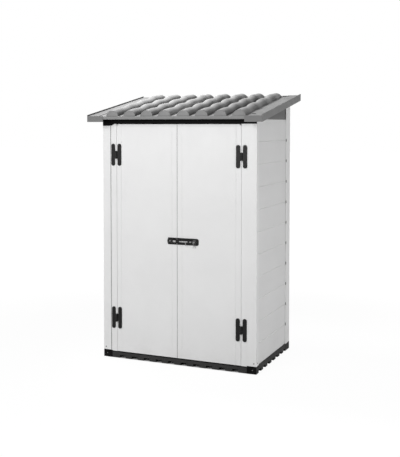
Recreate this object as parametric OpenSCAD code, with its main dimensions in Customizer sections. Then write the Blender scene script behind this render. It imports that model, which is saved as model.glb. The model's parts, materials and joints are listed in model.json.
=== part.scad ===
// Garden shed with a single-slope tiled roof, walls of stacked planks and two hinged doors.
// The origin is on the ground under the middle of the roof, and the doors face -Y.

/* [Body] */
// Width over the corner posts
body_w = 1200; // [1000:10:1400]
// Depth over the corner posts
body_d = 760; // [700:10:900]
// Number of planks in each wall
plank_count = 11; // [10:1:12]
// Height of one plank
plank_h = 155.5; // [146:0.5:166]
// Thickness of a plank
plank_t = 20; // [16:0.5:24]
// Thickness of a plank's skins and ribs
plank_skin = 2.5; // [2:0.25:3.5]
// Number of hollow cells in a plank
plank_cells = 4; // [2:1:6]
// Edge bevel that draws the line between two planks
plank_bevel = 2.5; // [1:0.5:4]
// Distance from the posts' outer faces in to the planks
plank_setback = 3; // [2.5:0.5:6]
// Height of the tongue that locks one plank to the next
tongue_h = 6; // [4:0.5:9]
// Thickness of that tongue
tongue_t = 8; // [6:0.5:9]

/* [Base] */
// Height of the sill under the doors
sill_h = 47; // [42:1:52]
// Height of the lip outside the lowest planks
lip_h = 58; // [54:1:66]
// Height at which the lowest planks stand
plank_seat_h = 51; // [49:0.5:53]
// Thickness of the floor deck
deck_t = 5; // [4:0.5:8]
// Height of the openings between the feet
feet_h = 20; // [14:1:24]
// Width of the notches along the front
notch_w = 48; // [36:1:60]
// Distance from a corner to the middle of the nearest notch
notch_start = 156; // [120:1:180]
// Number of notches along the front
notch_count = 10; // [8:2:10]
// Width of the gaps between the feet along a side
side_gap_w = 48; // [40:1:56]
// Distance from the front to the middle of the first side gap
side_gap_start = 79; // [76:1:90]
// Distance from the rear to the middle of the last side gap
side_gap_end = 117; // [104:1:118]
// Number of gaps along a side
side_gap_count = 7; // [5:1:7]
// Height of the corner foot caps
foot_cap_h = 54; // [52:0.5:60]

/* [Posts] */
// Width of a front post's face
front_post_w = 70; // [62:1:80]
// Depth of a front post
front_post_d = 48; // [44:1:60]
// Width of a rear post along the rear wall
rear_post_w = 70; // [64:1:90]
// Depth of a rear post along the side wall
rear_post_d = 100; // [90:1:120]
// Thickness of a rear post's two legs
rear_leg_t = 34; // [32:1:42]
// Wall of a post
post_wall = 4; // [3:0.5:5]
// Depth of the slots that hold the planks' ends
slot_depth = 14; // [10:1:16]

/* [Doorway] */
// Width of the strip between a front post and its door
jamb_w = 42; // [38:1:50]
// Depth of that strip
jamb_d = 30; // [30:1:36]
// Thickness of a door
door_t = 25; // [22:0.5:26]
// Distance that doors and jambs stand behind the posts' faces
door_setback = 1; // [0.5:0.5:2]
// Gap between the two doors
door_gap = 3; // [3:0.5:5]
// Gap between a door and its jamb
door_side_gap = 2; // [1.5:0.5:3]
// Gap over and under a door
door_end_gap = 3; // [2:0.5:5]
// Thickness of a door's front skin
door_skin = 4; // [3:0.5:6]
// Width of the frame round the back of a door
door_frame_w = 62; // [50:1:80]
// Number of hollow panels in the back of a door
door_panels = 5; // [3:1:7]
// Radius of a door's top outer corner
door_corner_r = 18; // [8:1:26]
// Distance from a door's edges to the shallow grooves in its face
door_groove_in = 36; // [30:1:44]
// Width of those grooves
door_groove_w = 3; // [2:0.5:5]
// Height of the bar over the doors below the walls' top
lintel_h = 32; // [24:1:50]
// Depth of that bar
lintel_d = 45; // [42:1:60]
// Distance that the bar stands out before the posts
lintel_proud = 3; // [2:0.5:5]
// Height that the left top cap hangs below the bar
cap_skirt = 14; // [10:1:22]
// Width of that cap's slanted corner
cap_corner = 23; // [12:1:30]

/* [Hinges] */
// Height of a hinge
hinge_h = 161; // [140:1:180]
// Width of each of its two upright bars
hinge_bar_w = 29; // [24:1:31]
// Distance from the pin to the middle of a bar
hinge_bar_x = 25.5; // [23:0.5:27]
// Height of the crossbar that holds the knuckles
hinge_cross_h = 54; // [45:1:66]
// Thickness of a leaf
hinge_leaf_t = 6; // [4:0.5:7]
// Radius of a knuckle
knuckle_r = 8; // [7:0.25:8.5]
// Gap between two knuckles
knuckle_gap = 0.4; // [0.3:0.1:0.8]
// Radius of a hinge pin
pin_r = 3; // [2.5:0.25:4]
// Clearance round a hinge pin
pin_fit = 0.06; // [0.03:0.01:0.1]
// Height of the upper hinges' middle
upper_hinge_z = 1503; // [1300:1:1560]
// Height of the lower hinges' middle
lower_hinge_z = 300; // [200:1:400]

/* [Latch] */
// Height of the bolt above the ground
latch_z = 893; // [700:1:1100]
// Height of the latch plates
latch_h = 48; // [46:1:60]
// Length of the plate on the right door
latch_plate_l = 164; // [160:1:180]
// Length of the plate on the left door
keeper_l = 73; // [66:1:90]
// Thickness of both plates
latch_t = 5; // [5:0.5:7]
// Radius of the bolt
bolt_r = 6; // [5:0.25:7]
// Clearance round the bolt in its guides
bolt_fit = 0.1; // [0.05:0.01:0.1]
// Clearance round the bolt in the keeper
keeper_fit = 0.6; // [0.5:0.1:1]
// Distance that the bolt slides
bolt_travel = 24; // [16:1:24]
// Distance from the seam to the lock
lock_x = 138; // [136:1:144]
// Radius of the lock's turning barrel
lock_r = 7.5; // [6:0.25:8.5]

/* [Roof] */
// Distance that the roof stands out beside the posts
side_overhang = 74; // [66:1:110]
// Distance that the roof stands out before the posts
front_overhang = 102; // [70:1:160]
// Distance that the roof stands out behind the posts
rear_overhang = 31; // [20:1:80]
// Slope of the roof in degrees
roof_slope = 10.4; // [8:0.1:14]
// Height of the roof sheet's underside above the walls at the front
roof_lift = 33.5; // [20:0.5:50]
// Thickness of the roof sheet
sheet_t = 5; // [4:0.5:6]
// Height of the sheet's lips at the front and the rear
sheet_lip_h = 22; // [14:1:30]
// Distance of the joint between the two panels to the right of the middle
panel_joint_x = 16; // [0:1:20]
// Width of a tile row where it is widest
tile_w = 96; // [84:1:104]
// Width of a tile row where it is narrowest
tile_rear_w = 81; // [66:1:84]
// Distance of the tile rows' axes below the sheet's top
tile_sink = 7; // [2:0.5:12]
// Distance from the panels' joint to the middle of the nearest tile rows
tile_first_x = 72.5; // [66:0.5:80]
// Distance from the roof's side to the middle of the nearest tile row, with the joint in the middle
tile_side = 186; // [170:1:200]
// Number of tile rows on one panel
tile_rows = 4; // [2:1:4]
// Number of courses in a tile row
tile_courses = 4; // [3:1:6]
// Wall of a tile
tile_wall = 4; // [3:0.5:5]
// Distance from the roof's front edge to the tile rows
tile_front = 12; // [10:1:50]
// Distance from the tile rows to the roof's rear edge
tile_rear = 88; // [60:1:140]
// Length of a tile row's rounded rear end
tile_end_l = 52; // [30:1:80]
// Width of a verge trim's top
verge_w = 95; // [70:1:110]
// Width of a verge trim's front block
verge_block_w = 129; // [110:1:140]
// Height of a verge trim below its top
verge_drop = 39; // [28:1:44]
// Height of the raised rim along a verge trim
rim_h = 12; // [6:0.5:20]
// Wall of a verge trim
verge_wall = 5; // [3:0.5:6]

/* [Fits] */
// Clearance where one piece slides into another
fit = 0.3; // [0.2:0.05:0.5]
// Gap between pieces that rest on each other
seat = 0.2; // [0.1:0.05:0.4]

/* [Hidden] */
$fn = 48;
half_w = body_w / 2;
roof_w = body_w + 2 * side_overhang;
roof_d = body_d + front_overhang + rear_overhang;
roof_front_y = -roof_d / 2;
roof_rear_y = roof_d / 2;
front_y = roof_front_y + front_overhang;
rear_y = roof_rear_y - rear_overhang;
wall_top = plank_seat_h + plank_count * plank_h;
lintel_z = wall_top - lintel_h;
sheet_top_at_front = wall_top + roof_lift + sheet_t;
door_face_y = front_y + door_setback;
hinge_x = half_w - front_post_w - jamb_w + 1;
pin_gap = 1;
pin_y = door_face_y - knuckle_r - pin_gap;
jamb_z0 = sill_h + seat;
door_z0 = sill_h + door_end_gap;
door_z1 = lintel_z - door_end_gap;
door_edge_x = half_w - front_post_w - jamb_w - door_side_gap;
post_z0 = foot_cap_h + seat;
cap_top_t = 5;
latch_face_y = door_face_y - seat - latch_t;
bolt_y = latch_face_y - bolt_r - 4;
lug_r = bolt_r + 5;
tall = 4000;
post_grey = [0.90, 0.90, 0.90];
wall_grey = [0.88, 0.88, 0.88];
roof_grey = [0.55, 0.55, 0.55];
trim_grey = [0.62, 0.62, 0.62];
board_grey = [0.36, 0.36, 0.37];
base_grey = [0.27, 0.27, 0.28];
black = [0.07, 0.07, 0.07];
silver = [0.75, 0.75, 0.76];
planks = [1:plank_count];

// Height of the roof sheet's top surface at a distance along the depth
function sheet_z(y) = sheet_top_at_front + (y - front_y) * tan(roof_slope);

// A box from one corner to the other
module block(low, high) {
    translate(low)
    cube(high - low);
}

// The piece as modelled on the right, or mirrored to the left
module on_side(side) {
    mirror([side < 0 ? 1 : 0, 0, 0])
    children();
}

module both_sides() {
    children();
    mirror([1, 0, 0])
    children();
}

// A bar that follows the roof, between two heights above the sheet's top surface
module sloped_bar(x0, x1, y0, y1, low, high) {
    translate([x0, 0, 0])
    rotate([90, 0, 90])
    linear_extrude(x1 - x0)
    polygon([
        [y0, sheet_z(y0) + low],
        [y1, sheet_z(y1) + low],
        [y1, sheet_z(y1) + high],
        [y0, sheet_z(y0) + high]
    ]);
}

// Everything above the underside of the roof, less a gap
module above_roof_underside(gap) {
    sloped_bar(-roof_w, roof_w, roof_front_y - tall / 8, roof_rear_y + tall / 8, -sheet_t - gap, tall);
}

// Outline of a plank, with its outer face at x = 0 and its lower edge at y = 0
module plank_outline() {
    top = plank_h - seat;
    tongue_x = (plank_t - tongue_t) / 2;
    cells_y0 = tongue_h + fit + plank_skin;
    cell_pitch = (top - cells_y0) / plank_cells;
    difference() {
        union() {
            polygon([
                [plank_bevel, 0],
                [plank_t, 0],
                [plank_t, top],
                [plank_bevel, top],
                [0, top - plank_bevel],
                [0, plank_bevel]
            ]);
            translate([tongue_x, top - 1])
            square([tongue_t, tongue_h + 1]);
        }
        translate([tongue_x - fit, -1])
        square([tongue_t + 2 * fit, tongue_h + fit + 1]);
        for (cell = [0:plank_cells - 1])
            translate([plank_skin, cells_y0 + cell * cell_pitch])
            square([plank_t - 2 * plank_skin, cell_pitch - plank_skin]);
    }
}

side_plank_y0 = front_y + front_post_d - slot_depth + seat;
side_plank_y1 = rear_y - rear_post_d + slot_depth - seat;
rear_plank_x = half_w - rear_post_w + slot_depth - seat;

module side_plank(side, number) {
    color(wall_grey)
    on_side(side)
    translate([half_w - plank_setback, side_plank_y1, plank_seat_h + (number - 1) * plank_h + seat])
    rotate([90, 0, 0])
    linear_extrude(side_plank_y1 - side_plank_y0)
    mirror([1, 0])
    plank_outline();
}

module rear_plank(number) {
    color(wall_grey)
    translate([-rear_plank_x, rear_y - plank_setback, plank_seat_h + (number - 1) * plank_h + seat])
    rotate([90, 0, 90])
    linear_extrude(2 * rear_plank_x)
    mirror([1, 0])
    plank_outline();
}

// Plan of the slot in which the side planks' ends stand, from y0 to y1
module side_slot_plan(y0, y1) {
    translate([half_w - plank_setback - plank_t - fit, y0])
    square([plank_t + 2 * fit, y1 - y0]);
}

module front_post_slot_plan() {
    side_slot_plan(front_y + front_post_d - slot_depth, front_y + front_post_d + 1);
}

module rear_post_slot_plan() {
    side_slot_plan(rear_y - rear_post_d - 1, rear_y - rear_post_d + slot_depth);
    translate([half_w - rear_post_w - 1, rear_y - plank_setback - plank_t - fit])
    square([slot_depth + 1, plank_t + 2 * fit]);
}

// Hollow of a front post, less a clearance
module front_post_hollow_plan(gap) {
    x0 = half_w - front_post_w + jamb_tongue_l + post_wall;
    y0 = front_y + post_wall;
    translate([x0 + gap, y0 + gap])
    square([
        half_w - post_wall - x0 - 2 * gap,
        front_post_d - slot_depth - 2 * post_wall - 2 * gap
    ]);
}

// Hollow of a rear post's side leg, less a clearance
module rear_post_hollow_plan(gap) {
    y0 = rear_y - rear_post_d + slot_depth + post_wall;
    translate([half_w - rear_leg_t + post_wall + gap, y0 + gap])
    square([rear_leg_t - 2 * post_wall - 2 * gap, rear_y - post_wall - y0 - 2 * gap]);
}

jamb_tongue_l = 8;
jamb_tongue_t = 8;
jamb_tongue_y = door_face_y + 11;

// Plan of the tongue that holds a jamb in its post
module jamb_tongue_plan(gap) {
    translate([half_w - front_post_w - 1, jamb_tongue_y - gap])
    square([jamb_tongue_l + 1 + gap, jamb_tongue_t + 2 * gap]);
}

module front_post_outline(inset) {
    translate([half_w - front_post_w + inset, front_y + inset])
    square([front_post_w - 2 * inset, front_post_d - 2 * inset]);
}

module rear_post_outline(inset) {
    translate([half_w - rear_leg_t + inset, rear_y - rear_post_d + inset])
    square([rear_leg_t - 2 * inset, rear_post_d - 2 * inset]);
    translate([half_w - rear_post_w + inset, rear_y - rear_leg_t + inset])
    square([rear_post_w - 2 * inset, rear_leg_t - 2 * inset]);
}

module front_post(side) {
    color(post_grey)
    on_side(side)
    difference() {
        translate([0, 0, post_z0])
        linear_extrude(sheet_z(front_y + front_post_d) - post_z0)
        difference() {
            front_post_outline(0);
            front_post_slot_plan();
            front_post_hollow_plan(0);
            jamb_tongue_plan(fit);
        }
        above_roof_underside(cap_top_t + 2 * seat);
    }
}

module rear_post(side) {
    color(post_grey)
    on_side(side)
    difference() {
        translate([0, 0, post_z0])
        linear_extrude(sheet_z(rear_y) - post_z0)
        difference() {
            rear_post_outline(0);
            rear_post_slot_plan();
            rear_post_hollow_plan(0);
        }
        above_roof_underside(seat);
    }
}

foot_cap_wall = 4;
foot_cap_plug_h = 40;

// A block under a corner from its outline, its inner outline, its plug and its slots.
// It is hollow below, and its plug stands in the post.
module foot_cap() {
    difference() {
        union() {
            linear_extrude(foot_cap_h)
            children(0);
            linear_extrude(foot_cap_h + foot_cap_plug_h)
            children(2);
        }
        translate([0, 0, plank_seat_h])
        linear_extrude(foot_cap_plug_h + foot_cap_h)
        children(3);
        translate([0, 0, -1])
        linear_extrude(plank_seat_h - 2 * foot_cap_wall + 1)
        children(1);
    }
}

module corner_foot_caps() {
    dimple_r = 6;
    dimple_x = 28;
    color(black)
    both_sides() {
        difference() {
            foot_cap() {
                front_post_outline(0);
                front_post_outline(foot_cap_wall);
                front_post_hollow_plan(fit);
                front_post_slot_plan();
            }
            translate([half_w - dimple_x, front_y, foot_cap_h / 2])
            rotate([90, 0, 0])
            cylinder(r = dimple_r, h = 4, center = true);
        }
        foot_cap() {
            rear_post_outline(0);
            rear_post_outline(foot_cap_wall);
            rear_post_hollow_plan(fit);
            rear_post_slot_plan();
        }
    }
}

notch_pitch = (body_w - 2 * notch_start) / (notch_count - 1);
side_gap_pitch = (body_d - side_gap_start - side_gap_end) / (side_gap_count - 1);

// Deck on a grid of feet, with a rail and an outer lip under the planks of three walls
module base_floor() {
    inset = 1;
    x1 = half_w - inset;
    y0 = front_y + inset;
    y1 = rear_y - inset;
    skirt = 30;
    rail = plank_setback + plank_t + fit;
    lip_x = half_w - plank_setback + fit;
    lip_y = rear_y - plank_setback + fit;
    tongue_in = plank_setback + (plank_t - tongue_t) / 2;
    color(base_grey)
    difference() {
        union() {
            block([-x1, y0, 0], [x1, y1, sill_h]);
            both_sides() {
                block([half_w - rail, y0, sill_h - 1], [x1, y1, plank_seat_h]);
                block([lip_x, y0, sill_h - 1], [x1, y1, lip_h]);
                block(
                    [half_w - tongue_in - tongue_t, side_plank_y0, sill_h],
                    [half_w - tongue_in, side_plank_y1, plank_seat_h + tongue_h]
                );
            }
            block([-x1, rear_y - rail, sill_h - 1], [x1, y1, plank_seat_h]);
            block([-x1, lip_y, sill_h - 1], [x1, y1, lip_h]);
            block(
                [-rear_plank_x, rear_y - tongue_in - tongue_t, sill_h],
                [rear_plank_x, rear_y - tongue_in, plank_seat_h + tongue_h]
            );
        }
        for (i = [0:notch_count - 1]) {
            notch_x = -half_w + notch_start + i * notch_pitch;
            block([notch_x - notch_w / 2, y0 - 1, -1], [notch_x + notch_w / 2, y1 + 1, feet_h]);
            block(
                [notch_x - notch_w / 2, y0 + skirt, -1],
                [notch_x + notch_w / 2, y1 - skirt, sill_h - deck_t]
            );
        }
        for (i = [0:side_gap_count - 1]) {
            gap_y = front_y + side_gap_start + i * side_gap_pitch;
            block([-x1 - 1, gap_y - side_gap_w / 2, -1], [x1 + 1, gap_y + side_gap_w / 2, feet_h]);
            block(
                [-x1 + skirt, gap_y - side_gap_w / 2, -1],
                [x1 - skirt, gap_y + side_gap_w / 2, sill_h - deck_t]
            );
        }
        both_sides() {
            block(
                [half_w - front_post_w - fit, y0 - 1, -1],
                [half_w, front_y + front_post_d + fit, lip_h + tongue_h]
            );
            block(
                [half_w - rear_leg_t - fit, rear_y - rear_post_d - fit, -1],
                [half_w, rear_y, lip_h + tongue_h]
            );
            block(
                [half_w - rear_post_w - fit, rear_y - rear_leg_t - fit, -1],
                [half_w, rear_y, lip_h + tongue_h]
            );
        }
    }
}

// Groove along the lower edge of a board that stands on the top planks
module board_groove(low, high) {
    block(low - [fit, fit, 1], high + [fit, fit, fit]);
}

module gable_infills() {
    x1 = half_w - plank_setback;
    tongue_x = x1 - (plank_t + tongue_t) / 2;
    color(board_grey)
    both_sides()
    difference() {
        block([x1 - plank_t, side_plank_y0, wall_top], [x1, side_plank_y1, sheet_z(side_plank_y1)]);
        above_roof_underside(seat);
        board_groove(
            [tongue_x, side_plank_y0 - 1, wall_top],
            [tongue_x + tongue_t, side_plank_y1 + 1, wall_top + tongue_h]
        );
    }
}

module rear_top_board() {
    y1 = rear_y - plank_setback;
    tongue_y = y1 - (plank_t + tongue_t) / 2;
    color(board_grey)
    difference() {
        block([-rear_plank_x, y1 - plank_t, wall_top], [rear_plank_x, y1, sheet_z(y1)]);
        above_roof_underside(seat);
        board_groove(
            [-rear_plank_x - 1, tongue_y, wall_top],
            [rear_plank_x + 1, tongue_y + tongue_t, wall_top + tongue_h]
        );
    }
}

door_stop_w = 12;
door_stop_t = 3;
door_stop_gap = 1.5;

// Hollow strips beside the doors, each with a stop behind its door and a tongue in its post
module door_jambs() {
    x0 = half_w - front_post_w - jamb_w;
    wall = 3;
    stop_y = door_face_y + door_t + door_stop_gap;
    color(post_grey)
    both_sides() {
        translate([0, 0, jamb_z0])
        linear_extrude(lintel_z - seat - jamb_z0)
        difference() {
            union() {
                translate([x0, door_face_y])
                square([jamb_w - fit, jamb_d]);
                translate([x0 - door_stop_w, stop_y])
                square([door_stop_w + 1, door_stop_t]);
            }
            translate([x0 + wall, door_face_y + wall])
            square([jamb_w - fit - 2 * wall, jamb_d - 2 * wall]);
        }
        translate([0, 0, post_z0])
        linear_extrude(lintel_z - seat - post_z0)
        jamb_tongue_plan(0);
    }
}

// Bar over the doors, open at the back, with a stop lip behind the doors' tops
module lintel() {
    x1 = half_w - front_post_w - fit;
    y0 = front_y - lintel_proud;
    wall = 4;
    stop_x = door_edge_x - door_stop_w;
    stop_y = door_face_y + door_t + door_stop_gap;
    color(black)
    difference() {
        union() {
            block([-x1, y0, lintel_z], [x1, y0 + lintel_d, sheet_z(front_y)]);
            block([-stop_x, stop_y, lintel_z - door_stop_w], [stop_x, stop_y + door_stop_t, lintel_z + 1]);
        }
        block(
            [-x1 - 1, y0 + wall, lintel_z + wall],
            [x1 + 1, y0 + lintel_d + 1, wall_top - wall]
        );
        above_roof_underside(seat);
    }
}

// Cap over a front post: a face plate, a top and a plug. The left one hangs lower.
module post_top_cap(side) {
    y0 = front_y - lintel_proud;
    x0 = half_w - front_post_w;
    plug_h = 40;
    low_z = side < 0 ? lintel_z - cap_skirt : lintel_z;
    on_side(side)
    difference() {
        union() {
            block([x0, y0, low_z], [half_w, front_y - seat, sheet_z(front_y)]);
            if (side < 0)
                translate([0, front_y - seat, 0])
                rotate([90, 0, 0])
                linear_extrude(lintel_proud - seat)
                polygon([
                    [x0 + 1, low_z],
                    [x0, low_z],
                    [x0 - cap_corner, lintel_z - seat],
                    [x0 + 1, lintel_z - seat]
                ]);
            sloped_bar(
                x0, half_w, front_y - lintel_proud, front_y + front_post_d - slot_depth - seat,
                -sheet_t - seat - cap_top_t, 0
            );
            translate([0, 0, wall_top - plug_h])
            linear_extrude(plug_h + roof_lift)
            front_post_hollow_plan(fit);
        }
        above_roof_underside(seat);
    }
}

module post_top_caps() {
    color(black)
    for (side = [-1, 1])
        post_top_cap(side);
}

// Door with a smooth face, upright grooves and hollow panels between ribs at the back
module door(side) {
    x0 = door_gap / 2;
    x1 = door_edge_x;
    groove_depth = 1.5;
    rib = 8;
    panel_x0 = x0 + door_frame_w;
    panel_x1 = x1 - door_frame_w;
    panel_pitch = (door_z1 - door_z0 - 2 * door_frame_w + rib) / door_panels;
    color(post_grey)
    on_side(side)
    difference() {
        translate([0, door_face_y + door_t, 0])
        rotate([90, 0, 0])
        linear_extrude(door_t)
        union() {
            translate([x0, door_z0])
            square([x1 - x0, door_z1 - door_z0 - door_corner_r]);
            translate([x0, door_z0])
            square([x1 - x0 - door_corner_r, door_z1 - door_z0]);
            translate([x1 - door_corner_r, door_z1 - door_corner_r])
            circle(door_corner_r);
        }
        for (groove_x = [x0 + door_groove_in, x1 - door_groove_in - door_groove_w])
            block(
                [groove_x, door_face_y - 1, door_z0 - 1],
                [groove_x + door_groove_w, door_face_y + groove_depth, door_z1 + 1]
            );
        for (panel = [0:door_panels - 1]) {
            panel_z = door_z0 + door_frame_w + panel * panel_pitch;
            block(
                [panel_x0, door_face_y + door_skin, panel_z],
                [panel_x1, door_face_y + door_t + 1, panel_z + panel_pitch - rib]
            );
        }
    }
}

knuckle_h = (hinge_cross_h - 2 * knuckle_gap) / 3;

// A knuckle's lower end, counted from the hinge's middle, for the row -1, 0 or 1
function knuckle_z(row) = row * (knuckle_h + knuckle_gap) - knuckle_h / 2;

// A round-ended bar, with its middle at the origin
module round_ended_bar(w, h) {
    square([w, h - w], center = true);
    for (end = [-1, 1])
        translate([0, end * (h - w) / 2])
        circle(w / 2);
}

// One leaf of a hinge, with the pin's axis at the origin. The jamb's leaf lies along +X.
module hinge_leaf(dir, own_rows, other_rows) {
    back_y = knuckle_r + pin_gap - seat;
    sweep = 0.7;
    difference() {
        union() {
            translate([dir * hinge_bar_x, back_y, 0])
            rotate([90, 0, 0])
            linear_extrude(hinge_leaf_t)
            round_ended_bar(hinge_bar_w, hinge_h);
            translate([dir * (hinge_bar_x + pin_gap) / 2, back_y - hinge_leaf_t / 2, 0])
            cube([hinge_bar_x - pin_gap, hinge_leaf_t, hinge_cross_h], center = true);
            for (row = own_rows)
                translate([0, 0, knuckle_z(row)])
                cylinder(r = knuckle_r, h = knuckle_h);
        }
        for (row = other_rows)
            translate([0, 0, knuckle_z(row) - knuckle_gap])
            cylinder(r = knuckle_r + sweep, h = knuckle_h + 2 * knuckle_gap);
        cylinder(r = pin_r + pin_fit, h = 2 * hinge_h, center = true);
    }
}

module at_hinges(side) {
    for (z = [upper_hinge_z, lower_hinge_z])
        translate([side * hinge_x, pin_y, z])
        on_side(side)
        children();
}

module hinge_jamb_leaves() {
    color(black)
    for (side = [-1, 1])
        at_hinges(side)
        hinge_leaf(1, [-1, 1], [0]);
}

module hinge_door_leaves(side) {
    color(black)
    at_hinges(side)
    hinge_leaf(-1, [0], [-1, 1]);
}

// Pins with a head at each end
module hinge_pins() {
    head_h = 3;
    head_r = pin_r + 2;
    color(silver)
    for (side = [-1, 1])
        at_hinges(side) {
            cylinder(r = pin_r, h = hinge_cross_h + 2 * seat + 2, center = true);
            for (end = [-1, 1])
                translate([0, 0, end * (hinge_cross_h / 2 + seat + head_h / 2)])
                cylinder(r = head_r, h = head_h, center = true);
        }
}

// Outline of a guide round the bolt, with the bolt's axis at the origin and the plate at +x
module guide_outline(bore_r) {
    difference() {
        union() {
            circle(lug_r);
            translate([0, -lug_r])
            square([latch_face_y - bolt_y + 1, 2 * lug_r]);
        }
        circle(bore_r);
    }
}

// A guide from x0 to x1 along the bolt's axis
module bolt_guide(x0, x1, bore_r) {
    translate([x0, bolt_y, latch_z])
    rotate([90, 0, 90])
    linear_extrude(x1 - x0)
    guide_outline(bore_r);
}

module latch_plate_from(outline) {
    translate([0, door_face_y - seat, latch_z])
    rotate([90, 0, 0])
    linear_extrude(latch_t)
    polygon(outline);
}

plate_x0 = 3;
guide_l = 20;
second_guide_x = 90;
second_guide_l = 14;
bolt_end_x = second_guide_x + bolt_travel + 2;
sleeve_l = 33;
sleeve_wall = 2;
keeper_guide_x = 24;
keeper_guide_l = 16;
boss_l = 16;
boss_r = lock_r + 3.5;
lock_flange_r = lock_r + 2.5;
lock_flange_t = 3;

module latch_keeper() {
    point = 7;
    end_x = plate_x0 + keeper_l;
    sleeve_r = bolt_r + keeper_fit + sleeve_wall;
    color(black) {
        latch_plate_from([
            [-plate_x0, -latch_h / 2],
            [-plate_x0, latch_h / 2],
            [-end_x + point, latch_h / 2],
            [-end_x, 0],
            [-end_x + point, -latch_h / 2]
        ]);
        difference() {
            bolt_guide(-keeper_guide_x - keeper_guide_l, -keeper_guide_x, 0.01);
            translate([-plate_x0 - sleeve_l - fit, bolt_y, latch_z])
            rotate([0, 90, 0])
            cylinder(r = sleeve_r + 0.1, h = sleeve_l);
        }
    }
}

// Metal tube in the keeper that takes the bolt's end
module keeper_sleeve() {
    sleeve_r = bolt_r + keeper_fit + sleeve_wall;
    color(silver)
    translate([-plate_x0 - sleeve_l, bolt_y, latch_z])
    rotate([0, 90, 0])
    difference() {
        cylinder(r = sleeve_r, h = sleeve_l);
        translate([0, 0, -1])
        cylinder(r = bolt_r + keeper_fit, h = sleeve_l + 2);
    }
}

module latch_plate() {
    chamfer = 8;
    end_x = plate_x0 + latch_plate_l;
    boss_y = latch_face_y - boss_l;
    color(black)
    difference() {
        union() {
            latch_plate_from([
                [plate_x0, -latch_h / 2],
                [end_x - chamfer, -latch_h / 2],
                [end_x, -latch_h / 2 + chamfer],
                [end_x, latch_h / 2 - chamfer],
                [end_x - chamfer, latch_h / 2],
                [plate_x0, latch_h / 2]
            ]);
            bolt_guide(plate_x0, plate_x0 + guide_l, bolt_r + bolt_fit);
            bolt_guide(second_guide_x, second_guide_x + second_guide_l, bolt_r + bolt_fit);
            translate([lock_x, latch_face_y + 1, latch_z])
            rotate([90, 0, 0])
            cylinder(r = boss_r, h = boss_l + 1);
        }
        translate([lock_x, door_face_y + 1, latch_z])
        rotate([90, 0, 0])
        cylinder(r = lock_r + pin_fit, h = boss_l + latch_t + 4);
        translate([lock_x, door_face_y + 1, latch_z])
        rotate([90, 0, 0])
        cylinder(r = lock_flange_r + pin_fit, h = 1 + seat + lock_flange_t + fit);
    }
}

// Round bolt with a flat pull that hangs from it
module bolt() {
    pull_x = 72;
    pull_w = 6;
    pull_t = 4;
    pull_l = 23;
    chamfer = 1.5;
    x0 = plate_x0 + fit;
    color(silver)
    translate([0, bolt_y, latch_z]) {
        translate([x0, 0, 0])
        rotate([0, 90, 0]) {
            cylinder(r1 = bolt_r - chamfer, r2 = bolt_r, h = chamfer);
            translate([0, 0, chamfer])
            cylinder(r = bolt_r, h = bolt_end_x - x0 - chamfer);
        }
        translate([pull_x, 0, -pull_l / 2])
        cube([pull_w, pull_t, pull_l], center = true);
        translate([pull_x, 0, -pull_l])
        rotate([90, 0, 0])
        cylinder(r = pull_w / 2, h = pull_t, center = true);
    }
}

// Turning barrel of the lock, held by a flange behind the plate, with a keyway in its face
module lock_cylinder() {
    keyway_w = 2.5;
    keyway_h = 9;
    keyway_d = 6;
    back_y = door_face_y - seat - fit / 2;
    barrel_l = latch_t + boss_l + 1;
    color(silver)
    translate([lock_x, back_y, latch_z])
    rotate([90, 0, 0])
    difference() {
        union() {
            cylinder(r = lock_flange_r, h = lock_flange_t);
            cylinder(r = lock_r, h = barrel_l);
        }
        translate([0, 0, barrel_l])
        cube([keyway_w, keyway_h, 2 * keyway_d], center = true);
    }
}

ring_r = boss_r + 3;
ring_wire = 1;
key_hole_r = 2.6;

// One key in the plane across X, hung from the origin by its hole
module key() {
    bow_r = 7;
    blade_l = 26;
    blade_w = 4.5;
    key_t = 1.6;
    rotate([0, 90, 0])
    translate([key_hole_r - ring_wire - seat, 0, -key_t / 2])
    linear_extrude(key_t)
    difference() {
        union() {
            translate([bow_r - key_hole_r - 1.5, 0])
            circle(bow_r);
            translate([0, -blade_w / 2])
            square([blade_l, blade_w]);
        }
        circle(key_hole_r);
        for (cut = [0:2])
            translate([blade_l - 3 - cut * 4, blade_w / 2])
            circle(1.2);
    }
}

// A ring that hangs on the lock's boss, with two keys on it
module key_set() {
    ring_z = boss_r + seat - (ring_r - ring_wire);
    spread = 13;
    color(silver)
    translate([lock_x, latch_face_y - boss_l / 2 - 1, latch_z + ring_z]) {
        rotate([90, 0, 0])
        rotate_extrude()
        translate([ring_r, 0])
        circle(ring_wire);
        for (way = [-1, 1])
            rotate([0, way * spread, 0])
            translate([0, 0, -ring_r])
            key();
    }
}

tile_y0 = roof_front_y + tile_front;
tile_y1 = roof_rear_y - tile_rear;
tile_run = (tile_y1 - tile_y0) / cos(roof_slope);
tile_pitch = (roof_w / 2 - tile_side - tile_first_x) / (tile_rows - 1);
course_l = tile_run / tile_courses;
course_rise = 0.3;
course_steps = [0.15, 0.3, 0.55, 0.8, 1];
wide_r = sqrt(pow(tile_w / 2, 2) + pow(tile_sink, 2));
narrow_r = sqrt(pow(tile_rear_w / 2, 2) + pow(tile_sink, 2));

// Radius of a tile row at a share of a course: it swells to the nose, then narrows to the rear
function course_r(share) = share < course_rise
    ? narrow_r + (wide_r - narrow_r) * (1 - cos(180 * share / course_rise)) / 2
    : wide_r - (wide_r - narrow_r) * (share - course_rise) / (1 - course_rise);

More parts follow.
